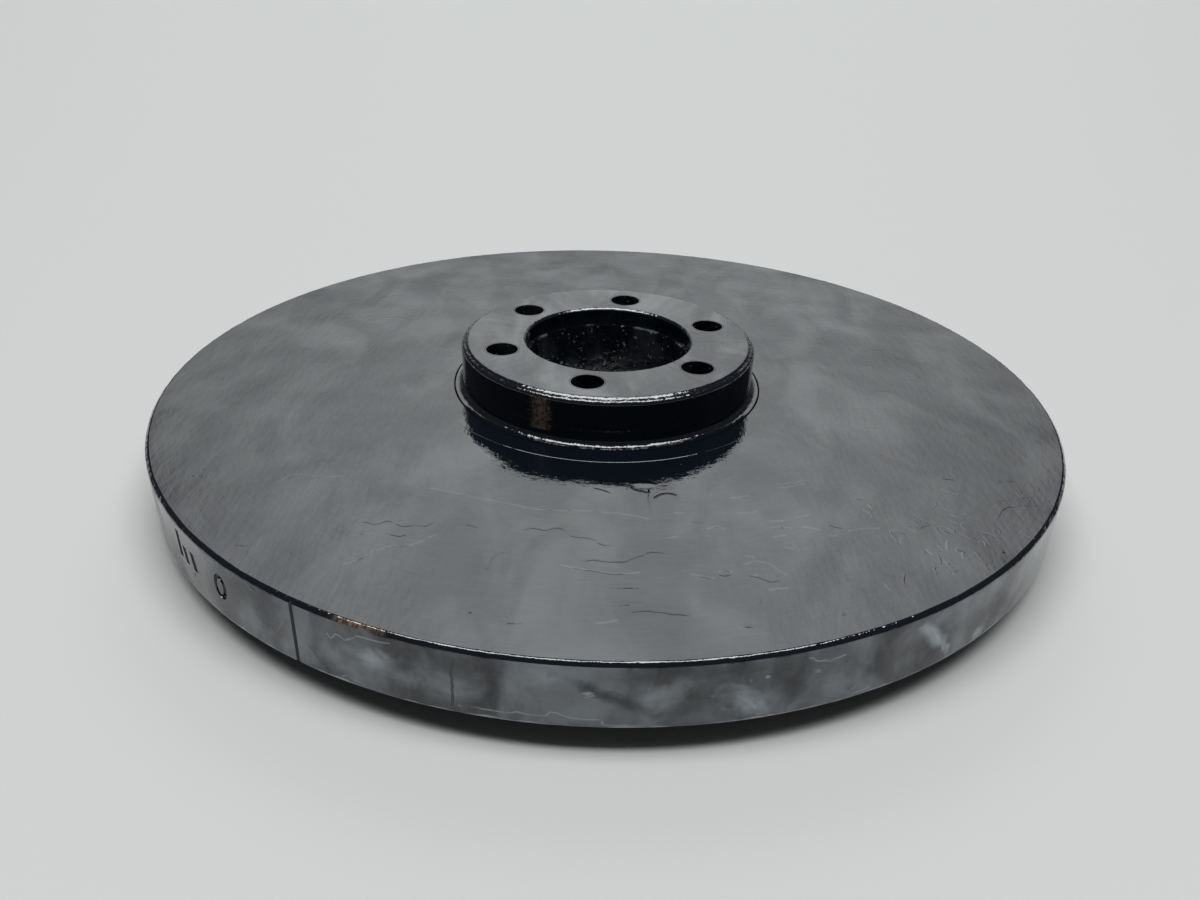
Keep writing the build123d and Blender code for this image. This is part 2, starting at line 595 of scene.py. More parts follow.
def vee_cutter(top, bottom, width, depth):
    """Three-sided bar for a vee groove on the rim between two (degrees, height) ends."""
    bpy.ops.object.select_all(action="DESELECT")
    bpy.ops.mesh.primitive_cylinder_add(vertices=3, radius=1.0, depth=2.0)
    bar = bpy.context.object
    half = width / 2 * (overrun + depth) / depth
    reach = disc_radius + overrun
    corners = [Vector((disc_radius - depth, 0)), Vector((reach, half)), Vector((reach, -half))]
    for v in bar.data.vertices:
        corner = corners[round(math.atan2(v.co.x, v.co.y) / math.tau * 3) % 3]
        degrees, height = top if v.co.z > 0 else bottom
        v.co.xy = Matrix.Rotation(math.radians(degrees), 2) @ corner
        v.co.z = height
    alone(bar)
    bpy.ops.object.mode_set(mode="EDIT")
    bpy.ops.mesh.select_all(action="SELECT")
    bpy.ops.mesh.normals_make_consistent(inside=False)
    bpy.ops.object.mode_set(mode="OBJECT")
    return bar


line_top = (timing_line_angle, disc_face + overrun)
line_bottom = (timing_line_angle, disc_rear - overrun)
cut_away(disc, vee_cutter(line_top, line_bottom, timing_line_width, timing_line_depth))
for (top_angle, top_drop), (low_angle, low_drop) in scale_strokes:
    stroke_top = (top_angle, disc_face - top_drop * MM)
    stroke_low = (low_angle, disc_face - low_drop * MM)
    cut_away(disc, vee_cutter(stroke_top, stroke_low, stroke_width, stroke_depth))
print("strokes punched", len(scale_strokes))

# %% [markdown]
# ## The nought
#
# The nought is a torus, stretched to the height of a digit and wrapped round the rim. A text object
# could be used, but a ring has the soft round section that a punch leaves.

# %% Punch the nought
bpy.ops.object.select_all(action="DESELECT")
bpy.ops.mesh.primitive_torus_add(
    major_radius=plain_ring_radius,
    minor_radius=nought_line,
    major_segments=48,
    minor_segments=16,
    rotation=(math.pi / 2, 0, math.pi / 2),
)
ring = bpy.context.object
bpy.ops.object.transform_apply(rotation=True)
for v in ring.data.vertices:
    out = Vector((v.co.y, v.co.z)).normalized()
    around = Vector((v.co.y, v.co.z)).length - plain_ring_radius
    v.co.y = out.x * (nought_half_width + around)
    v.co.z = out.y * (nought_half_height + around) + disc_face - nought_drop
    v.co.x += math.sqrt(disc_radius**2 - v.co.y**2)
ring.rotation_euler = (0, 0, math.radians(nought_angle))
alone(ring)
bpy.ops.object.transform_apply(rotation=True)
cut_away(disc, ring)

# %% [markdown]
# ## Paint beads on the rim's edge
#
# The brush left most paint on the rim's front edge, where it hardened in long soft lumps with shorter
# beads on top. So that edge is moved twice, by a coarse noise and by a finer one.


# %% Let the paint pool on the rim's edge
def on_rim_chamfer(radius, height):
    outside = radius > disc_radius - rim_chamfer - 0.1 * MM
    return outside and height > disc_face - rim_chamfer - 0.1 * MM


rim_lump, rim_strength = 3.0 * MM, 0.14 * MM
bead_lump, bead_strength = 1.6 * MM, 0.13 * MM
uneven(disc, "pooled rim", rim_lump, rim_strength, on_rim_chamfer)
uneven(disc, "rim beads", bead_lump, bead_strength, on_rim_chamfer)
finish_shading(disc)
print("disc with its marks, faces", len(disc.data.polygons))

# %% [markdown]
# ## Flaws in the paint
#
# The enamel went on thick and was brushed while it was setting. It left lips where a half-dry skin was
# dragged along, soft ridges at the ends of strokes, blisters, and specks of dust. Each flaw is a thin
# ribbon or a flat dome laid on the surface. Its section meets the surface without a step, so only the
# bent reflection shows. The paths were read from the photograph.

# %% Places on the face and the rim
chance = random.Random(11)
rim_top_margin = 1.3 * MM
rim_low_margin = 1.0 * MM


def face_place(pixel):
    spot = on_face(pixel)
    return Vector((spot.x, spot.y))


def rim_place(pixel):
    spot = on_rim(pixel)
    height = max(disc_rear + rim_low_margin, min(disc_face - rim_top_margin, spot.z))
    return Vector((math.atan2(spot.y, spot.x) * disc_radius, height))


def lay_on_face(spot, height):
    return Vector((spot.x, spot.y, disc_face + height))


def lay_on_rim(spot, height):
    turn = spot.x / disc_radius
    out = disc_radius + height
    return Vector((out * math.cos(turn), out * math.sin(turn), spot.y))


# %% [markdown]
# ## Ribbons and domes
#
# A ribbon is a grid bent along a path, a dome is a disc with inset rings. A curve with a bevel profile
# would also make a ribbon, but a grid lets the height fade at both ends and waver on the way.

# %% Make a ribbon
ribbon_step = 0.45 * MM
ribbon_rows = 12
jag_step = 0.9
end_fade = 0.2
paint_lift = 0.003 * MM


def smooth_path(points, share):
    """Point of a soft curve through all points, share running from 0 to 1."""
    place = share * (len(points) - 1)
    here = min(int(place), len(points) - 2)
    t = place - here
    p1, p2 = points[here], points[here + 1]
    p0 = points[here - 1] if here > 0 else 2 * p1 - p2
    p3 = points[here + 2] if here + 2 < len(points) else 2 * p2 - p1
    bend = 2 * p0 - 5 * p1 + 4 * p2 - p3
    twist = -p0 + 3 * p1 - 3 * p2 + p3
    return 0.5 * (2 * p1 + (p2 - p0) * t + bend * t**2 + twist * t**3)


def soft_step(share):
    share = max(0.0, min(1.0, share))
    return share * share * (3 - 2 * share)


def ridge(across):
    """Section that is the same on both sides."""
    return 0.5 + 0.5 * math.cos(math.pi * across)


def lip(across):
    """Section with a gentle back and a steep straight front."""
    return soft_step((1 - across) / 1.5) if across > -0.5 else (across + 1) / 0.5


def ribbon(points, half_width, height, section, lay, jagged=0.0):
    """Ribbon of paint along a path; it fades out at both ends and varies along its way."""
    length = sum((b - a).length for a, b in zip(points, points[1:]))
    steps = max(12, int(length / ribbon_step))
    bpy.ops.mesh.primitive_grid_add(x_subdivisions=steps, y_subdivisions=ribbon_rows, size=2.0)
    piece = bpy.context.object
    waves = [chance.uniform(0, math.tau) for _ in range(4)]
    jags = [chance.uniform(-1, 1) for _ in range(int(length / (jag_step * MM)) + 3)]
    for v in piece.data.vertices:
        share = (v.co.x + 1) / 2
        across = v.co.y
        after, before = min(share + 0.01, 1), max(share - 0.01, 0)
        ahead = smooth_path(points, after) - smooth_path(points, before)
        side = Vector((-ahead.y, ahead.x)).normalized()
        run = share * length / MM
        vary = 0.9 + 0.12 * math.sin(run / 1.7 + waves[0]) + 0.12 * math.sin(run / 0.8 + waves[1])
        wander = 0.25 * math.sin(run / 2.3 + waves[2]) + 0.15 * math.sin(run / 0.9 + waves[3])
        knot = run / jag_step
        mix = knot - int(knot)
        jag = jags[int(knot)] * (1 - mix) + jags[int(knot) + 1] * mix
        ends = soft_step(share / end_fade) * soft_step((1 - share) / end_fade)
        fade = ends * (0.85 + 0.2 * jag)
        shift = half_width * wander + jagged * jag
        spot = smooth_path(points, share) + side * (across * half_width + shift)
        v.co = lay(spot, paint_lift + height * section(across) * vary * fade)
    return piece


def ribbons(paths, place, flaws, *shape):
    """Ribbons of one shape along paths of pixels, added to a list of flaws."""
    for pixels in paths:
        flaws.append(ribbon([place(pixel) for pixel in pixels], *shape))


# %% Make a dome, join the flaws
dome_rings = (0.85, 0.7, 0.55, 0.4, 0.25, 0.12)


def dome(spot, half_length, half_width, height, lean, lay):
    """Flat dome of paint over a speck or a bubble."""
    bpy.ops.mesh.primitive_circle_add(vertices=24, radius=1.0, fill_type="NGON")
    piece = bpy.context.object
    bpy.ops.object.mode_set(mode="EDIT")
    bpy.ops.mesh.select_mode(type="FACE")
    bpy.ops.mesh.select_all(action="SELECT")
    size = 1.0
    for smaller in dome_rings:
        bpy.ops.mesh.inset(thickness=size - smaller)
        size = smaller
    bpy.ops.object.mode_set(mode="OBJECT")
    turn = Matrix.Rotation(lean, 2)
    for v in piece.data.vertices:
        rise = ridge(min(1.0, v.co.xy.length))
        flat = Vector((v.co.x * half_length, v.co.y * half_width))
        v.co = lay(spot + turn @ flat, paint_lift + height * rise)
    return piece


def join_flaws(name, pieces):
    """One object out of many flaws, smooth all over."""
    bpy.ops.object.select_all(action="DESELECT")
    for piece in pieces:
        piece.select_set(True)
    bpy.context.view_layer.objects.active = pieces[0]
    bpy.ops.object.join()
    whole = bpy.context.object
    whole.name = whole.data.name = name
    bpy.ops.object.mode_set(mode="EDIT")
    bpy.ops.mesh.select_all(action="SELECT")
    bpy.ops.mesh.normals_make_consistent(inside=False)
    bpy.ops.object.mode_set(mode="OBJECT")
    bpy.ops.object.shade_smooth()
    print(name, "faces", len(whole.data.polygons))
    return whole


# %% [markdown]
# ## Lips and ridges on the face
#
# A lip has one steep side. Where it leans back steeply it mirrors the dark part of the room and reads as
# a dark line, and where it is flatter it mirrors the bright wall and reads as a light one. Height tells
# them apart, and the light ridges also wear an enamel that reflects more than the face's, a painted
# highlight. All paths are pixels of the photograph.

# %% Paths on the face
dark_lips = [
    [
        (350, 524), (362, 522), (375, 524), (389, 521), (402, 526),
        (414, 525), (425, 526), (434, 523), (450, 530),
    ],
    [(465, 525), (472, 526), (480, 528)],
    [
        (507, 533), (531, 528), (545, 530), (559, 528),
        (570, 535), (593, 539), (604, 545), (628, 545),
    ],
    [(478, 572), (489, 567), (492, 560), (500, 553), (511, 549)],
    [(573, 561), (593, 560), (621, 562), (640, 556), (652, 552), (680, 555)],
    [(826, 521), (833, 526), (845, 529)],
    [(915, 532), (922, 527), (930, 525), (942, 525)],
    [(997, 518), (1001, 511), (1008, 507), (1019, 507)],
    [(592, 488), (602, 490), (614, 494)],
    [(386, 533), (398, 536), (408, 534)],
    [(746, 574), (758, 577), (770, 581), (782, 580)],
    [(718, 575), (725, 576), (732, 574)],
    [(623, 612), (650, 611), (672, 614), (694, 615)],
]
deep_lips = [
    [(630, 488), (637, 490), (643, 491), (650, 494)],
    [(649, 489), (650, 496), (650, 504), (651, 519)],
    [(652, 503), (656, 497), (663, 494), (670, 494), (680, 496)],
]
light_ridges = [
    [(343, 564), (357, 560), (368, 555), (380, 549), (391, 546), (413, 544), (438, 534)],
    [
        (430, 488), (455, 493), (481, 498), (510, 504), (537, 509),
        (565, 510), (593, 511), (625, 514), (648, 519),
    ],
    [(276, 483), (293, 474), (315, 476), (340, 477)],
    [(744, 565), (755, 561), (768, 563), (778, 569), (788, 575)],
    [(718, 572), (725, 570), (732, 572)],
    [(779, 488), (792, 486), (806, 483)],
    [(785, 484), (796, 482), (808, 480)],
    [(848, 531), (862, 529), (880, 528)],
    [(938, 525), (948, 528), (953, 534)],
    [(1020, 530), (1028, 536), (1034, 539)],
    [(940, 489), (950, 492), (958, 495)],
    [(706, 529), (716, 526), (726, 530)],
    [(560, 565), (590, 570), (615, 574), (640, 572)],
    [(690, 574), (705, 577), (716, 578)],
]
print("paths on the face", len(dark_lips) + len(deep_lips) + len(light_ridges))

# %% Lay paint along the paths
dark_half_width, dark_height, dark_jags = 0.27 * MM, 0.038 * MM, 0.14 * MM
deep_half_width, deep_height, deep_jags = 0.4 * MM, 0.1 * MM, 0.03 * MM
light_half_width, light_height, light_jags = 0.3 * MM, 0.024 * MM, 0.12 * MM
face_flaws = []
light_flaws = []
ribbons(dark_lips, face_place, face_flaws, dark_half_width, dark_height, lip, lay_on_face, dark_jags)
ribbons(deep_lips, face_place, face_flaws, deep_half_width, deep_height, lip, lay_on_face, deep_jags)
ribbons(light_ridges, face_place, light_flaws, light_half_width, light_height, lip, lay_on_face, light_jags)
print("ribbons on the face", len(face_flaws) + len(light_flaws))

# %% Lay the blister and the specks
blister_half_length, blister_half_width, blister_height = 3.4 * MM, 1.7 * MM, 0.14 * MM
blister_lean = -0.05
blister = face_place((644, 484))
face_flaws.append(
    dome(blister, blister_half_length, blister_half_width, blister_height, blister_lean, lay_on_face)
)
bright_speck = face_place((782, 528))
face_flaws.append(dome(bright_speck, 0.3 * MM, 0.3 * MM, 0.16 * MM, 0, lay_on_face))
face_specks = [
    (697, 532), (924, 552), (937, 564), (681, 464), (374, 450), (380, 393), (195, 476),
    (693, 562), (586, 621), (843, 614), (846, 580), (975, 540), (1002, 552), (760, 602), (470, 612),
]
for pixel in face_specks:
    half = chance.uniform(0.3, 0.6) * MM
    face_flaws.append(dome(face_place(pixel), half * 1.3, half, 0.07 * half, 0, lay_on_face))
print("specks on the face", len(face_specks))

# %% [markdown]
# ## Brush marks and wrinkles
#
# The brush left short marks all over the face, nearly all in one direction, and the paint wrinkled in a
# few places as it dried. There are too many to read one by one, so a seeded generator places them, and
# the same seed gives the same marks on each run.


# %% Scatter brush marks
def short_stroke(middle, length, heading):
    """Three points of a slightly bent stroke; heading is its angle from the X axis."""
    along = Vector((math.cos(heading), math.sin(heading))) * length / 2
    bend = Vector((-along.y, along.x)) * chance.uniform(-0.25, 0.25)
    return [middle - along, middle + bend, middle + along]


brush_marks = 160
brush_inner_share, brush_outer_share = 0.3, 0.92
brush_heading, brush_heading_spread = 0.06, 0.16
for mark in range(brush_marks):
    spread = math.sqrt(chance.uniform(brush_inner_share, brush_outer_share)) * disc_radius
    turn = chance.uniform(0, math.tau)
    middle = Vector((spread * math.cos(turn), spread * math.sin(turn)))
    length = chance.uniform(3, 9) * MM
    points = short_stroke(middle, length, chance.gauss(brush_heading, brush_heading_spread))
    height = chance.uniform(0.012, 0.04) * MM
    face_flaws.append(ribbon(points, chance.uniform(0.5, 0.9) * MM, height, lip, lay_on_face, 0.1 * MM))
print("brush marks", brush_marks)

# %% Scatter wrinkles
edge_margin = 6 * MM
wrinkle_spread_x, wrinkle_spread_y = 11, 13
wrinkle_heading_spread = 0.3
wrinkled_places = [
    (face_place((985, 515)), 50, -0.75, 0.04 * MM),
    (face_place((965, 540)), 56, math.pi / 2, 0.045 * MM),
    (face_place((730, 535)), 30, 0.2, 0.018 * MM),
]
for wrinkled_middle, wrinkles, heading, highest in wrinkled_places:
    for wrinkle in range(wrinkles):
        away = Vector((chance.gauss(0, wrinkle_spread_x), chance.gauss(0, wrinkle_spread_y)))
        middle = wrinkled_middle + away * MM
        if middle.length > disc_radius - edge_margin:
            continue
        length = chance.uniform(2, 5) * MM
        points = short_stroke(middle, length, heading + chance.gauss(0, wrinkle_heading_spread))
        height = chance.uniform(0.4, 1.0) * highest
        half_width = chance.uniform(0.2, 0.4) * MM
        # Every second wrinkle wears the brighter enamel of the light ridges, a painted highlight.
        flaws = light_flaws if wrinkle % 2 else face_flaws
        flaws.append(ribbon(points, half_width, height, lip, lay_on_face, 0.12 * MM))
print("flaws on the face", len(face_flaws))

# %% [markdown]
# ## Runs and beads on the rim
#
# On the rim the paint ran before it set. Thin light lines are dried drips whose grey is a painted
# highlight, two darker lines are ribbons in painted shade, and the beads are dust under the paint. They
# are kept as separate objects, because the lines with painted highlight, the lines in painted shade and
# the ridges each get a finish of their own.

# %% Paths on the rim
rim_light_lines = [
    [(327, 632), (330, 638), (337, 634), (345, 640), (356, 637), (370, 640), (390, 644)],
    [(342, 679), (346, 676), (356, 680), (366, 685)],
    [
        (470, 706), (500, 712), (520, 713), (545, 716), (552, 712),
        (575, 719), (600, 720), (606, 725), (640, 727),
    ],
    [(809, 658), (826, 661), (847, 654)],
    [(852, 697), (860, 691), (870, 687)],
    [(585, 698), (593, 696), (603, 699)],
    [(582, 694), (588, 692), (593, 694)],
]
# Two darker lines on the rim: their enamel has less grey than the rest of the rim, painted shade.
rim_shades = [
    [(452, 658), (451, 675), (453, 688), (452, 706)],
    [(492, 676), (495, 690), (493, 700), (495, 714)],
]
rim_ridges = [
    [(731, 690), (742, 698), (752, 706), (759, 711)],
    [(847, 690), (856, 684), (868, 680)],
    [(928, 626), (936, 638), (944, 650)],
    [(286, 620), (281, 627), (273, 636)],
    [(300, 640), (310, 648), (318, 660)],
]
rim_specks = [
    ((597, 698), 1.6, 0.6), ((587, 694), 0.6, 0.4), ((713, 697), 0.5, 0.5), ((768, 677), 0.5, 0.4),
    ((751, 681), 0.4, 0.4), ((818, 671), 0.6, 0.4), ((755, 703), 0.5, 0.4), ((656, 711), 1.3, 1.0),
    ((370, 649), 1.2, 0.8), ((252, 589), 1.4, 0.5), ((460, 704), 0.5, 0.6), ((383, 690), 0.9, 0.6),
]
print("paths on the rim", len(rim_light_lines) + len(rim_shades) + len(rim_ridges))

# %% Lay paint on the rim
line_half_width, line_height, line_jags = 0.2 * MM, 0.05 * MM, 0.18 * MM
shade_half_width, shade_height, shade_jags = 0.3 * MM, 0.03 * MM, 0.1 * MM
run_half_width, run_height = 0.7 * MM, 0.13 * MM
small_speck = 0.7
rim_lines = []
rim_dark = []
rim_flaws = []
ribbons(rim_light_lines, rim_place, rim_lines, line_half_width, line_height, ridge, lay_on_rim, line_jags)
ribbons(rim_shades, rim_place, rim_dark, shade_half_width, shade_height, ridge, lay_on_rim, shade_jags)
ribbons(rim_ridges, rim_place, rim_flaws, run_half_width, run_height, ridge, lay_on_rim)
for pixel, half_length, half_width in rim_specks:
    size = (half_length * MM, half_width * MM, 0.24 * half_width * MM)
    # Small specks join the light lines and share their painted highlight.
    flaws = rim_lines if half_length < small_speck else rim_flaws
    flaws.append(dome(rim_place(pixel), *size, 0, lay_on_rim))
print("flaws read on the rim", len(rim_lines) + len(rim_dark) + len(rim_flaws))

# %% Scatter runs where the photograph shows nothing
rim_height = disc_face - disc_rear
hidden_runs = 26
for run in range(hidden_runs):
    turn = math.radians(chance.uniform(-30, 210))
    middle = Vector((turn * disc_radius, disc_rear + rim_height * chance.uniform(0.3, 0.7)))
    points = short_stroke(middle, chance.uniform(3, 6.5) * MM, chance.uniform(-1.5, 1.5))
    height = chance.uniform(0.03, 0.08) * MM
    rim_flaws.append(ribbon(points, run_half_width, height, ridge, lay_on_rim, 0.1 * MM))
    along = chance.uniform(0, math.tau) * disc_radius
    speck = Vector((along, disc_rear + rim_height * chance.uniform(0.2, 0.8)))
    half = chance.uniform(0.3, 0.6) * MM
    rim_flaws.append(dome(speck, half * 1.2, half, 0.08 * half, 0, lay_on_rim))
print("flaws on the rim", len(rim_flaws))

# %% Join the flaws
face_paint = join_flaws("paint_flaws_face", face_flaws)
face_ridges = join_flaws("paint_ridges_face", light_flaws)
rim_paint = join_flaws("paint_flaws_rim", rim_flaws)
rim_dark_paint = join_flaws("painted_shade_rim", rim_dark)
rim_light_paint = join_flaws("painted_highlight_lines_rim", rim_lines)

# %% [markdown]
# ## Finishes
#
# Gloss enamel is a dark colour under a smooth film, so nearly all one sees is reflection. What makes it
# read as brushed paint is that the film isn't quite flat and isn't equally thick everywhere. It could be
# painted by hand as pictures, but noise that is made from the place on the piece has no seams and needs
# no files. What several finishes share is made once, as a node group. The helpers that put nodes
# together come first.

# %% Helpers for nodes
def math_in(tree, operation, first, second=None, third=None):
    """Math node in a tree; its inputs are numbers or other nodes' outputs."""
    node = tree.nodes.new("ShaderNodeMath")
    node.operation = operation
    for socket, value in zip(node.inputs, (first, second, third)):
        if value is None:
            continue
        if isinstance(value, (int, float)):
            socket.default_value = value
        else:
            tree.links.new(value, socket)
    return node.outputs[0]


def map_in(tree, value, low, high, start, end, kind="SMOOTHSTEP"):
    """Change from start to end while a value goes from low to high."""
    node = tree.nodes.new("ShaderNodeMapRange")
    node.interpolation_type = kind
    tree.links.new(value, node.inputs["Value"])
    for label, number in zip(("From Min", "From Max", "To Min", "To Max"), (low, high, start, end)):
        node.inputs[label].default_value = number
    return node.outputs["Result"]


def noise_in(tree, place, grain, detail, stretch=(1, 1, 1), spin=0.0, folded=0.0):
    """Noise of one grain size, which can be stretched, turned and folded."""
    mapping = tree.nodes.new("ShaderNodeMapping")
    mapping.inputs["Scale"].default_value = stretch
    mapping.inputs["Rotation"].default_value = (0, 0, spin)
    noise = tree.nodes.new("ShaderNodeTexNoise")
    noise.inputs["Scale"].default_value = 1 / grain
    noise.inputs["Detail"].default_value = detail
    noise.inputs["Distortion"].default_value = folded
    tree.links.new(place, mapping.inputs["Vector"])
    tree.links.new(mapping.outputs["Vector"], noise.inputs["Vector"])
    return noise.outputs["Fac"]


# %% Helpers for places
def own_place(tree):
    """Place on the piece, in metres from its origin."""
    return tree.nodes.new("ShaderNodeTexCoord").outputs["Object"]


def sides_in(tree, place):
    """The x, y and z of a place."""
    sides = tree.nodes.new("ShaderNodeSeparateXYZ")
    tree.links.new(place, sides.inputs[0])
    return sides.outputs


def length_in(tree, first, second):
    """Length of a line from how far it goes in two directions."""
    squares = math_in(tree, "MULTIPLY_ADD", first, first, math_in(tree, "MULTIPLY", second, second))
    return math_in(tree, "SQRT", squares)


def turn_in(tree, x, y, middle):
    """Angle round the Z axis, counted from a middle."""
    return math_in(tree, "SUBTRACT", math_in(tree, "ARCTAN2", y, x), middle)


def round_place(tree, place, along, across):
    """Place that changes slowly along circles round the Z axis and fast across them."""
    x, y, z = sides_in(tree, place)
    radius = length_in(tree, x, y)
    joined = tree.nodes.new("ShaderNodeCombineXYZ")
    for socket, side in zip(joined.inputs, (x, y)):
        share = math_in(tree, "DIVIDE", side, radius)
        tree.links.new(math_in(tree, "MULTIPLY", share, disc_radius / along), socket)
    out = math_in(tree, "ADD", radius, z)
    tree.links.new(math_in(tree, "DIVIDE", out, across), joined.inputs[2])
    return joined.outputs[0]


# %% Helpers for groups
def new_group(name, inputs, output):
    """Empty node group, with the values that it is given and the one that it makes."""
    group = bpy.data.node_groups.new(name, "ShaderNodeTree")
    for label, value in inputs.items():
        socket = group.interface.new_socket(label, in_out="INPUT", socket_type="NodeSocketFloat")
        socket.default_value = value
    group.interface.new_socket(output, in_out="OUTPUT", socket_type="NodeSocketFloat")
    given = group.nodes.new("NodeGroupInput")
    made = group.nodes.new("NodeGroupOutput")
    return group, given.outputs, made.inputs


def with_group(tree, group, values):
    """A shared group in a tree, with its numbers set."""
    node = tree.nodes.new("ShaderNodeGroup")
    node.node_tree = group
    for label, value in values.items():
        node.inputs[label].default_value = value
    return node


# %% [markdown]
# ## The skin of brushed paint
#
# There is fine peel everywhere. Longer brush strokes lie over it, some round the axis and some along the
# way of the brush, and slow waves lie under all of them. The four heights are added up, and each enamel
# says how strong it wants peel, strokes and waves.

# %% The skin of brushed paint
skin_inputs = {"Peel": 1.0, "Strokes": 1.0, "Waves": 1.0}
peel_grain = 2.0 * MM
stroke_grain = 1.4 * MM
stroke_stretch = (1, 0.25, 1)
stroke_spin = 0.2
round_stroke_length = 9 * MM
round_stroke_width = 1 * MM
wave_grain = 24 * MM
peel_height = 0.03 * MM
round_stroke_height = 0.016 * MM
stroke_height = 0.05 * MM
wave_height = 0.9 * MM

skin, given, made = new_group("brushed paint skin", skin_inputs, "Height")
place = own_place(skin)
turned = round_place(skin, place, round_stroke_length, round_stroke_width)
layers = [
    ("Peel", noise_in(skin, place, peel_grain, 3), peel_height),
    ("Strokes", noise_in(skin, turned, 1, 3), round_stroke_height),
    ("Strokes", noise_in(skin, place, stroke_grain, 2, stroke_stretch, stroke_spin), stroke_height),
    ("Waves", noise_in(skin, place, wave_grain, 1), wave_height),
]
total = None
for label, noise, height in layers:
    sized = math_in(skin, "MULTIPLY", noise, height)
    sized = math_in(skin, "MULTIPLY", sized, given[label])
    total = sized if total is None else math_in(skin, "ADD", total, sized)
skin.links.new(total, made["Height"])
print(skin.name, "has", len(skin.nodes), "nodes")

# %% [markdown]
# ## The cloudy film
#
# A second mask says where the enamel is thick and where grey is painted into it. It is made of slow
# clouds that folds break up, of patches, fine specks, streaks round the axis, and a ragged band along a
# low edge. Each enamel takes the share of each that it needs, and the same group serves as clear film, as
# bloom, and as painted light: painted reflection on the rim, a painted highlight along its low edge and
# in its light lines, and painted glints in the bore.

# %% The cloudy film
film_inputs = {
    "Clouds": 1.0,
    "Patches": 0.0,
    "Glint specks": 0.0,
    "Folds": 0.0,
    "Streaks": 0.0,
    "Low edge highlight": 0.0,
    "Edge height": 0.0,
}
cloud_grain = 16 * MM
fold_grain = 5 * MM
patch_grain = 11 * MM
glint_grain = 1.1 * MM
streak_length = 6 * MM
streak_width = 0.42 * MM
edge_grain = 5 * MM
edge_raggedness = 1.6 * MM
cloud_start, cloud_end = 0.37, 0.68
patch_start, patch_end = 0.6, 0.72
glint_start, glint_end = 0.68, 0.74
streak_start, streak_end = 0.35, 0.75
edge_start, edge_end = -0.5 * MM, -0.1 * MM

film, given, made = new_group("cloudy film", film_inputs, "Mask")
place = own_place(film)
clouds = noise_in(film, place, cloud_grain, 4, (1, 0.5, 0.8), 0.2, folded=0.7)
folds = noise_in(film, place, fold_grain, 3, (1, 1, 0.45))
folds = math_in(film, "SUBTRACT", folds, 0.5)
folds = math_in(film, "MULTIPLY", folds, given["Folds"])
clouds = math_in(film, "SUBTRACT", clouds, folds)
clouds = map_in(film, clouds, cloud_start, cloud_end, 0, 1)
clouds = math_in(film, "MULTIPLY", clouds, given["Clouds"])
patches = noise_in(film, place, patch_grain, 3, (1, 1, 0.7), 0.5, folded=0.5)
patches = map_in(film, patches, patch_start, patch_end, 0, 1)
clouds = math_in(film, "MULTIPLY_ADD", patches, given["Patches"], clouds)
# Fine specks of grey: painted glints where an enamel uses them.
glint_specks = noise_in(film, place, glint_grain, 1)
glint_specks = map_in(film, glint_specks, glint_start, glint_end, 0, 1)
clouds = math_in(film, "MULTIPLY_ADD", glint_specks, given["Glint specks"], clouds)
streaks = noise_in(film, round_place(film, place, streak_length, streak_width), 1, 4)
streaks = map_in(film, streaks, streak_start, streak_end, 0, 1, "LINEAR")
streaks = math_in(film, "MULTIPLY_ADD", streaks, given["Streaks"], clouds)

# A ragged band along a low edge: a painted highlight, as of a bright floor mirrored in the rim's lower
# edge.
ragged = noise_in(film, place, edge_grain, 3)
ragged = math_in(film, "MULTIPLY_ADD", ragged, -edge_raggedness, sides_in(film, place)["Z"])
above = math_in(film, "SUBTRACT", ragged, given["Edge height"])
low_edge_highlight = map_in(film, above, edge_start, edge_end, 1, 0)
low_edge_highlight = math_in(film, "MULTIPLY", low_edge_highlight, given["Low edge highlight"])
film.links.new(math_in(film, "MAXIMUM", streaks, low_edge_highlight), made["Mask"])
print(film.name, "has", len(film.nodes), "nodes")

# %% [markdown]
# ## One soft patch
#
# The painted reflection on the rim is lighter in some places and darker in others. One such place is an
# ellipse on the rim, which may lean and whose edge is ragged.

# %% One soft patch
patch_inputs = {
    "Turn": 0.0,
    "Height": 0.0,
    "Half width": 1.0,
    "Half height": 1.0,
    "Slant": 0.0,
    "Ragged": 0.5,
}
patch_raggedness = 2.2
patch_fade = 1.5

patch, given, made = new_group("soft patch", patch_inputs, "Mask")
x, y, z = sides_in(patch, own_place(patch))
arc = math_in(patch, "MULTIPLY", turn_in(patch, x, y, given["Turn"]), disc_radius)
up = math_in(patch, "SUBTRACT", z, given["Height"])
arc = math_in(patch, "SUBTRACT", arc, math_in(patch, "MULTIPLY", up, given["Slant"]))
arc = math_in(patch, "DIVIDE", arc, given["Half width"])
up = math_in(patch, "DIVIDE", up, given["Half height"])
ragged = math_in(patch, "MULTIPLY_ADD", given["Ragged"], patch_raggedness, -patch_raggedness / 2)
away = math_in(patch, "ADD", length_in(patch, arc, up), ragged)
patch.links.new(map_in(patch, away, 0.0, patch_fade, 1, 0), made["Mask"])
print(patch.name, "has", len(patch.nodes), "nodes")

# %% [markdown]
# ## The brown drip
#
# At one place a brown drip runs down the hub's wall and shows again on the rim's edge, where the paint
# is thin. It is a band of angle with brushed sides, limited in height and outward, and mottled.

# %% The brown drip
drip_inputs = {"Turn": 0.0, "Half width": 0.1, "Low": 0.0, "High": 1.0, "Radius": 0.0}
drip_edge = 0.1 * MM
drip_grain = 0.7 * MM
bristle_length = 4 * MM
bristle_width = 0.4 * MM
bristle_share = 1.3
side_start, side_end = 0.9, 1.8
mottle_start, mottle_end = 0.36, 0.64
thinnest_drip = 0.3

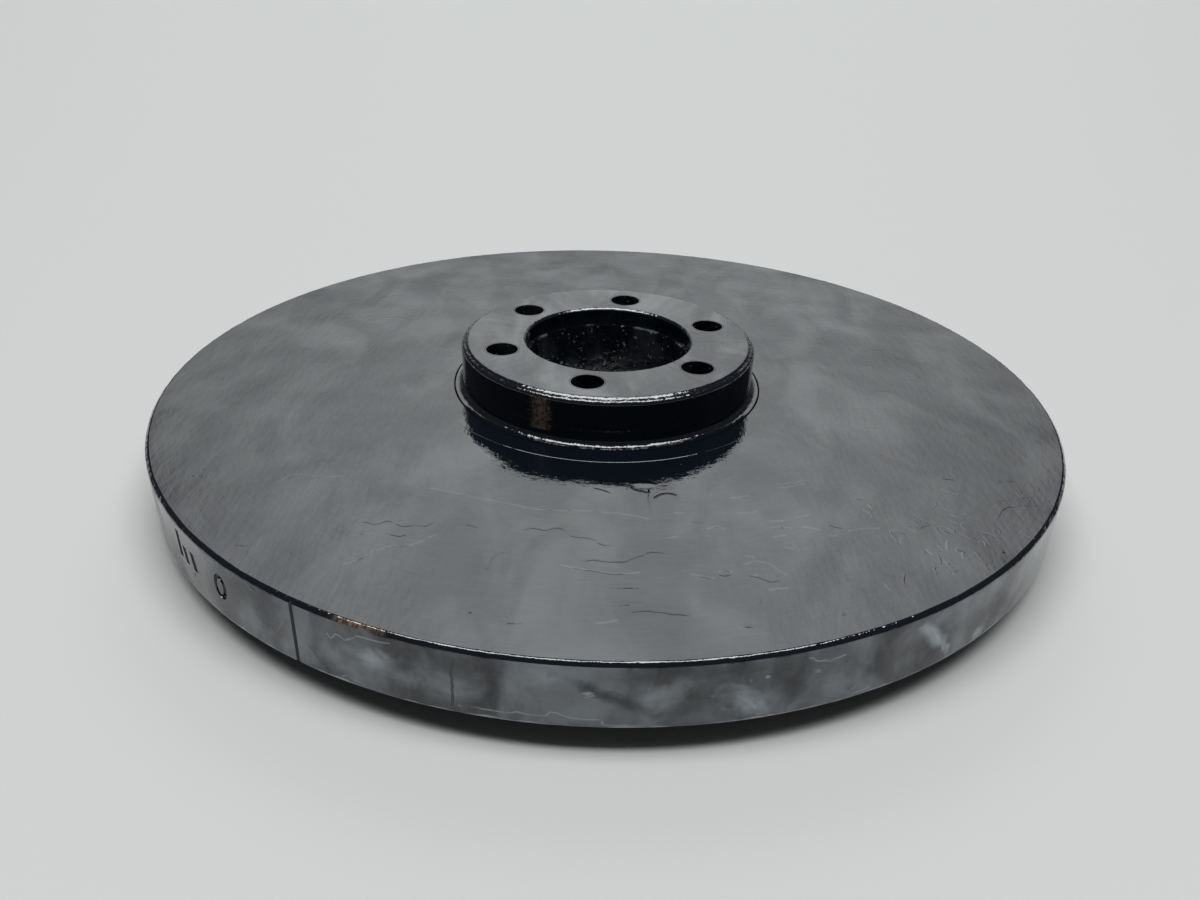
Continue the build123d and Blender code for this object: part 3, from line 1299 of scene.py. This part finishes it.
stain, given, made = new_group("brown drip", drip_inputs, "Mask")
place = own_place(stain)
x, y, z = sides_in(stain, place)
aside = math_in(stain, "ABSOLUTE", turn_in(stain, x, y, given["Turn"]))
aside = math_in(stain, "DIVIDE", aside, given["Half width"])
bristles = noise_in(stain, round_place(stain, place, bristle_length, bristle_width), 1, 2)
aside = math_in(stain, "ADD", aside, math_in(stain, "MULTIPLY", bristles, bristle_share))
drip = map_in(stain, aside, side_start, side_end, 1, 0)
limits = [
    (z, "Low", 0, 1),
    (z, "High", 1, 0),
    (length_in(stain, x, y), "Radius", 0, 1),
]
for value, limit, start, end in limits:
    past = math_in(stain, "SUBTRACT", value, given[limit])
    open_here = map_in(stain, past, -drip_edge, drip_edge, start, end)
    drip = math_in(stain, "MULTIPLY", drip, open_here)
mottled = noise_in(stain, place, drip_grain, 3, (1, 1, 0.6))
mottled = map_in(stain, mottled, mottle_start, mottle_end, thinnest_drip, 1)
stain.links.new(math_in(stain, "MULTIPLY", drip, mottled), made["Mask"])
print(stain.name, "has", len(stain.nodes), "nodes")

# %% [markdown]
# ## Painted reflection on the rim
#
# Much of the rim's look is painted reflection: grey that is thick where the rim would mirror something
# light and thin where it would mirror something dark. Each place is read from the photograph: the pixel
# of its middle, half its width and height in millimetres, its slant, and how much grey it adds or takes.

# %% Places with more or less painted reflection
lighter_places = [
    ((550, 676), 5.5, 2.6, 0.0, 0.25),
    ((586, 714), 2.8, 3.0, 0.0, 0.2),
    ((669, 693), 3.8, 3.6, 0.8, 0.42),
    ((742, 701), 4.6, 3.8, -0.9, 0.5),
    ((840, 682), 6.0, 3.2, 0.0, 0.12),
    ((905, 668), 4.5, 2.6, 0.0, 0.12),
    ((935, 637), 2.0, 4.4, -0.9, 0.95),
    ((976, 633), 2.0, 1.5, 0.0, 0.6),
    ((377, 660), 3.2, 2.4, 0.3, 0.5),
    ((406, 679), 3.2, 2.2, 0.0, 0.25),
    ((252, 621), 6.0, 5.0, 0.0, 0.2),
    ((330, 655), 6.0, 4.5, 0.0, 0.25),
    ((450, 690), 4.0, 4.0, 0.0, 0.2),
    ((512, 690), 3.0, 3.5, 0.0, 0.15),
]
darker_places = [
    ((609, 697), 3.0, 4.6, -1.9, 0.95),
    ((730, 671), 7.0, 2.0, 0.0, 0.7),
    ((640, 678), 6.0, 2.0, 0.0, 0.6),
    ((479, 667), 4.5, 3.0, 0.0, 0.6),
    ((493, 696), 1.1, 6.0, 0.0, 0.8),
    ((878, 670), 2.0, 3.5, -1.5, 0.7),
    ((797, 688), 5.5, 3.0, -1.2, 0.6),
    ((915, 645), 5.0, 2.5, 0.0, 0.6),
]
print("places on the rim", len(lighter_places) + len(darker_places))

# %% Painted reflection patches
patch_ragged_grain = 4 * MM

reflection_patches, given, made = new_group("painted reflection patches", film_inputs, "Mask")
ragged = noise_in(reflection_patches, own_place(reflection_patches), patch_ragged_grain, 3, folded=0.5)
even_reflection = with_group(reflection_patches, film, {})
for socket in even_reflection.inputs:
    reflection_patches.links.new(given[socket.name], socket)
total = even_reflection.outputs["Mask"]


def patch_mask(pixel, half_width, half_height, slant):
    """Mask of one patch, its middle where a pixel of the photograph shows the rim."""
    spot = rim_place(pixel)
    values = {
        "Turn": spot.x / disc_radius,
        "Height": spot.y,
        "Half width": half_width * MM,
        "Half height": half_height * MM,
        "Slant": slant,
    }
    one = with_group(reflection_patches, patch, values)
    reflection_patches.links.new(ragged, one.inputs["Ragged"])
    return one.outputs["Mask"]


for *shape, amount in lighter_places:
    total = math_in(reflection_patches, "MULTIPLY_ADD", patch_mask(*shape), amount, total)
for *shape, amount in darker_places:
    left = math_in(reflection_patches, "MULTIPLY_ADD", patch_mask(*shape), -amount, 1.0)
    total = math_in(reflection_patches, "MULTIPLY", total, left)
reflection_patches.links.new(total, made["Mask"])
print(reflection_patches.name, "has", len(reflection_patches.nodes), "nodes")

# %% [markdown]
# ## From groups to enamels
#
# One function makes an enamel with its skin. A second one lays the cloudy film over it as clear coat, and
# a third one lets a mask put another colour into it. Metal flake or a second layer of paint would need
# more, but this paint is plain black.

# %% Helpers for enamels
black_enamel = (0.0038, 0.0055, 0.0098, 1)
# Grey painted into the black enamel: painted reflection on the rim, painted glints and reflection in the
# bore.
painted_reflection_grey = (0.47, 0.52, 0.56, 1)
# Grey of the rim's light lines: painted highlight.
painted_highlight_grey = (0.29, 0.32, 0.34, 1)
drip_brown = (0.21, 0.135, 0.09, 1)
thin_brown = (0.19, 0.135, 0.095, 1)


def enamel(name, skin_values, roughness=0.05, ior=1.9):
    """Gloss black enamel with its skin of peel, strokes and waves."""
    material = bpy.data.materials.new(name)
    material.use_nodes = True
    tree = material.node_tree
    shader = tree.nodes["Principled BSDF"]
    shader.inputs["Base Color"].default_value = black_enamel
    shader.inputs["Roughness"].default_value = roughness
    shader.inputs["IOR"].default_value = ior
    relief = with_group(tree, skin, skin_values)
    bump = tree.nodes.new("ShaderNodeBump")
    bump.inputs["Distance"].default_value = 1.0
    tree.links.new(relief.outputs["Height"], bump.inputs["Height"])
    tree.links.new(bump.outputs["Normal"], shader.inputs["Normal"])
    return material


def thick_and_thin(material, film_values):
    """A second clear film, thick in some places and thin in others."""
    tree = material.node_tree
    mask = with_group(tree, film, film_values)
    tree.links.new(mask.outputs["Mask"], tree.nodes["Principled BSDF"].inputs["Coat Weight"])


def coloured(material, group, values, colour):
    """Another colour in the base coat where the group's mask says so."""
    tree = material.node_tree
    mask = with_group(tree, group, values)
    tint = tree.nodes.new("ShaderNodeMix")
    tint.data_type = "RGBA"
    tint.inputs["A"].default_value = black_enamel
    tint.inputs["B"].default_value = colour
    tree.links.new(mask.outputs["Mask"], tint.inputs["Factor"])
    tree.links.new(tint.outputs["Result"], tree.nodes["Principled BSDF"].inputs["Base Color"])


# %% Enamels of the disc
face_skin = {"Peel": 1.5, "Strokes": 1.4, "Waves": 1.0}
face_film = {"Clouds": 0.42, "Streaks": 0.15}
disc_enamel = enamel("disc_enamel", face_skin, ior=1.68)
thick_and_thin(disc_enamel, face_film)
# A copy of the face enamel that reflects more, so the light ridges read light at any slope: painted
# highlight.
ridge_highlight_enamel = enamel("ridge_highlight_enamel", face_skin, ior=1.86)
thick_and_thin(ridge_highlight_enamel, face_film)
disc_drip = {
    "Turn": math.radians(-111.8),
    "Half width": math.radians(3.4),
    "Radius": disc_radius - 1.2 * MM,
}
rim_edge_enamel = enamel("rim_edge_enamel", {"Peel": 8.0, "Strokes": 1.0, "Waves": 1.0}, 0.07)
coloured(rim_edge_enamel, stain, disc_drip, drip_brown)
mark_enamel = enamel("mark_enamel", {"Peel": 1.0, "Strokes": 0.0, "Waves": 0.0}, 0.1, 1.5)

# %% Enamels of the rim
rim_skin = {"Peel": 1.5, "Strokes": 0.4, "Waves": 4.0}
# The rim's grey is painted reflection, with a painted highlight along its low edge.
rim_reflection = {
    "Clouds": 0.36,
    "Patches": 0.15,
    "Folds": 0.26,
    "Streaks": 0.04,
    "Low edge highlight": 0.8,
    "Edge height": disc_rear,
}
rim_enamel = enamel("rim_enamel", rim_skin, ior=1.6)
coloured(rim_enamel, reflection_patches, rim_reflection, painted_reflection_grey)
# Light lines on the rim: their grey is a painted highlight.
rim_highlight_enamel = enamel("rim_highlight_enamel", rim_skin, ior=1.6)
coloured(rim_highlight_enamel, film, {"Clouds": 0.7, "Streaks": 1.0}, painted_highlight_grey)
# Less grey than the rim around it: painted shade along two lines.
rim_painted_shade_enamel = enamel("rim_painted_shade_enamel", rim_skin, ior=1.6)
coloured(rim_painted_shade_enamel, film, {**rim_reflection, "Clouds": 0.15, "Patches": 0.0}, painted_reflection_grey)

# %% Enamels of the hub
bore_skin = {"Peel": 7.0, "Strokes": 1.0, "Waves": 2.0}
hub_drip = {
    "Turn": math.radians(-113.6),
    "Half width": math.radians(4.6),
    "Low": disc_face + 2.5 * MM,
    "High": boss_face - 1.2 * MM,
    "Radius": boss_radius - 1 * MM,
}
# Bore and bolt holes: the grey clouds and specks are painted glints and painted reflection.
bore_glint_enamel = enamel("bore_glint_enamel", bore_skin, 0.1, 1.5)
coloured(bore_glint_enamel, film, {"Clouds": 0.05, "Folds": 0.8, "Glint specks": 0.5}, painted_reflection_grey)
# Ledge between the registers: its grey is a painted highlight along the edge.
ledge_highlight_enamel = enamel("ledge_highlight_enamel", bore_skin, 0.1, 1.5)
coloured(ledge_highlight_enamel, film, {"Clouds": 0.3, "Folds": 1.6, "Glint specks": 0.6}, painted_reflection_grey)
hub_enamel = enamel("hub_enamel", {"Peel": 1.0, "Strokes": 0.5, "Waves": 0.4}, ior=1.66)
thick_and_thin(hub_enamel, {"Clouds": 0.95, "Streaks": 0.25})
coloured(hub_enamel, stain, hub_drip, thin_brown)
edge_enamel = enamel("edge_enamel", {"Peel": 9.0, "Strokes": 0.0, "Waves": 0.0}, 0.08)
print("enamels", sum(material.name.endswith("_enamel") for material in bpy.data.materials))

# %% [markdown]
# ## Rubber
#
# The rubber ring is the one piece that keeps its solid as it is. Moulded rubber is dull and black, with
# a bloom that makes it duller in places, so only its roughness varies.

# %% Rubber
rubber = bpy.data.materials.new("moulded_rubber")
rubber.use_nodes = True
rubber_tree = rubber.node_tree
rubber_shader = rubber_tree.nodes["Principled BSDF"]
rubber_shader.inputs["Base Color"].default_value = (0.012, 0.012, 0.012, 1)
bloom = with_group(rubber_tree, film, {"Clouds": 1.0, "Streaks": 0.3})
rubber_roughness = map_in(rubber_tree, bloom.outputs["Mask"], 0, 1, 0.6, 0.85)
rubber_tree.links.new(rubber_roughness, rubber_shader.inputs["Roughness"])
rubber_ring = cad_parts["rubber_ring"]
rubber_ring.data.materials.clear()
rubber_ring.data.materials.append(rubber)
print(rubber_ring.name, "wears", rubber.name)

# %% [markdown]
# ## Paint on every face
#
# Each piece gets its enamel, and disc and hub take the place of their solids. Some of their faces wear
# another one: the rim carries painted reflection, the punched marks are full of paint, the edges are
# thick with it, the bore is rough and carries painted glints, and its ledge a painted highlight.
# Separate objects could hold those faces, but material slots keep each piece whole.

# %% Put the enamels on
finishes = [
    (disc, disc_enamel),
    (hub, hub_enamel),
    (face_paint, disc_enamel),
    (face_ridges, ridge_highlight_enamel),
    (rim_paint, rim_enamel),
    (rim_dark_paint, rim_painted_shade_enamel),
    (rim_light_paint, rim_highlight_enamel),
]
for piece, finish in finishes:
    piece.data.materials.clear()
    piece.data.materials.append(finish)
    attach(piece, "root")
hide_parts("inertia_disc")
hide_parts("hub")
print("painted pieces", len(finishes))

# %% Paint the disc's rim, marks and edge
RIM, MARKS, RIM_EDGE = 1, 2, 3
deepest_mark = 1.5 * MM
rim_unevenness = 0.16 * MM
for finish in (rim_enamel, mark_enamel, rim_edge_enamel):
    disc.data.materials.append(finish)
for face in disc.data.polygons:
    radius = face.center.xy.length
    beside = disc_rear + rear_edge_break < face.center.z < disc_face - rim_chamfer
    if radius > disc_radius - deepest_mark and beside:
        face.material_index = RIM if radius > disc_radius - rim_unevenness else MARKS
    elif on_rim_chamfer(radius, face.center.z):
        face.material_index = RIM_EDGE
print("faces on rim and marks", sum(face.material_index > 0 for face in disc.data.polygons))

# %% Paint the hub's bore, holes and edges
BORE, EDGES, LEDGE = 1, 2, 3
ledge_height = 0.5 * MM
for finish in (bore_glint_enamel, edge_enamel, ledge_highlight_enamel):
    hub.data.materials.append(finish)
for face in hub.data.polygons:
    radius, height = face.center.xy.length, face.center.z
    from_holes = min((face.center.xy - axis).length for axis in hole_axes)
    in_hole = from_holes < bolt_hole_radius + 0.02 * MM and abs(face.normal.z) < 0.1
    above_ledge = height - (boss_face - register_depth)
    in_bore = radius < register_radius and above_ledge < 0.3 * MM
    if in_bore and abs(above_ledge) < ledge_height:
        face.material_index = LEDGE
    elif in_hole or in_bore:
        face.material_index = BORE
    elif any(belongs(radius, height) for belongs in (on_boss_chamfer, on_foot_fillet, on_bore_mouth)):
        face.material_index = EDGES
print("faces in bore and holes", sum(face.material_index > 0 for face in hub.data.polygons))

# %% [markdown]
# ## Floor
#
# The part stands on its rear seat, on a pale dull floor that throws soft light up under the rim. The
# floor lies a hair lower than the seat, so that the two faces don't fall together.

# %% Floor
floor_size = 40.0
floor_gap = 0.02 * MM
bpy.ops.object.select_all(action="DESELECT")
bpy.ops.mesh.primitive_plane_add(size=floor_size, location=(0, 0, -floor_gap))
floor = bpy.context.object
floor.name = "floor"
floor_paint = bpy.data.materials.new("pale_floor")
floor_paint.use_nodes = True
shader = floor_paint.node_tree.nodes["Principled BSDF"]
shader.inputs["Base Color"].default_value = (0.66, 0.65, 0.64, 1)
shader.inputs["Roughness"].default_value = 0.6
shader.inputs["Specular IOR Level"].default_value = 0.2
floor.data.materials.append(floor_paint)
print("floor", floor_size, "m wide")

# %% [markdown]
# ## Light
#
# Gloss black paint shows hardly anything of its own: what the eye sees is the room mirrored in it. So
# the room is built as a sky of soft patches. A pale wall behind the part makes the face grey, the dark
# side of the room behind the camera makes the hub's wall black, and a wide lamp overhead draws the thin
# bright lines along every rounded edge that faces the camera. Area lamps near the part could do that
# too, but patches of sky are far away, so they light the whole floor evenly. Heights in the sky run
# from 0 at the horizon to 1 overhead.

# %% A room as a sky
world = bpy.data.worlds.new("soft studio")
bpy.context.scene.world = world
world.use_nodes = True
sky = world.node_tree
side, depth, up = sides_in(sky, sky.nodes.new("ShaderNodeTexCoord").outputs["Generated"])


def angle_in(tree, rise, run):
    """Size of the angle whose tangent is rise over run."""
    return math_in(tree, "ABSOLUTE", math_in(tree, "ARCTAN2", rise, run))


# %% Wall and ceiling
room_light = 0.055
wall_light = 1.28
ceiling_light = 0.3
wall_foot, wall_head, wall_end = 0.148, 0.7, 0.78
wall_foot_share, wall_head_share = 0.08, 1.5
wall_half_width, wall_outer_width = math.radians(25), math.radians(36)
wall_bright_width, wall_dim_width = math.radians(10), math.radians(30)
wall_dim_share = 0.7
ceiling_start, ceiling_end = 0.86, 0.96
azimuth = angle_in(sky, side, depth)
wall_width = map_in(sky, azimuth, wall_half_width, wall_outer_width, 1, 0)
wall_fade = map_in(sky, azimuth, wall_bright_width, wall_dim_width, 1, wall_dim_share)
wall_rise = map_in(sky, up, wall_foot, wall_head, wall_foot_share, wall_head_share, "LINEAR")
wall_top = map_in(sky, up, wall_head, wall_end, 1, 0)
wall = math_in(sky, "MULTIPLY", wall_width, wall_fade)
wall = math_in(sky, "MULTIPLY", wall, wall_rise)
wall = math_in(sky, "MULTIPLY", wall, wall_top)
ceiling = map_in(sky, up, ceiling_start, ceiling_end, 0, ceiling_light)
strength = math_in(sky, "MULTIPLY_ADD", wall, wall_light, room_light)
strength = math_in(sky, "ADD", strength, ceiling)
print("wall", wall_light, "ceiling", ceiling_light, "room", room_light)

# %% Lamp overhead
lamp_light = 6.6
lamp_half_width = math.radians(31)
lamp_start = math.radians(82)
lamp_end = math.radians(102)
lamp_softness = 0.03
sideways = angle_in(sky, side, up)
tilt = math_in(sky, "ARCTAN2", up, depth)
lamp = map_in(sky, sideways, lamp_half_width, lamp_half_width + lamp_softness, 1, 0)
lamp_opens = map_in(sky, tilt, lamp_start - lamp_softness, lamp_start, 0, 1)
lamp_closes = map_in(sky, tilt, lamp_end, lamp_end + lamp_softness, 1, 0)
lamp = math_in(sky, "MULTIPLY", lamp, lamp_opens)
lamp = math_in(sky, "MULTIPLY", lamp, lamp_closes)
lamp = math_in(sky, "MULTIPLY", lamp, lamp_light)
strength = math_in(sky, "ADD", strength, lamp)
print("lamp", lamp_light)

# %% [markdown]
# ## Plain behind the part
#
# The patches are there to be mirrored, not to be looked at. Where the camera looks past the floor it
# sees one plain grey instead, which a light path node decides.

# %% Plain backdrop
backdrop_light = 0.63
daylight = (0.965, 1.0, 1.015, 1)
background = sky.nodes["Background"]
path = sky.nodes.new("ShaderNodeLightPath")
seen = sky.nodes.new("ShaderNodeMix")
seen.data_type = "FLOAT"
sky.links.new(path.outputs["Is Camera Ray"], seen.inputs["Factor"])
sky.links.new(strength, seen.inputs["A"])
seen.inputs["B"].default_value = backdrop_light
sky.links.new(seen.outputs["Result"], background.inputs["Strength"])
background.inputs["Color"].default_value = daylight
print("nodes in the sky", len(sky.nodes))

# %% [markdown]
# ## View settings
#
# The standard view shows colours as they are. Views made for film would lift the blacks, and this part
# is nearly all black.

# %% View settings
bpy.context.scene.view_settings.view_transform = "Standard"
print("view", bpy.context.scene.view_settings.view_transform)
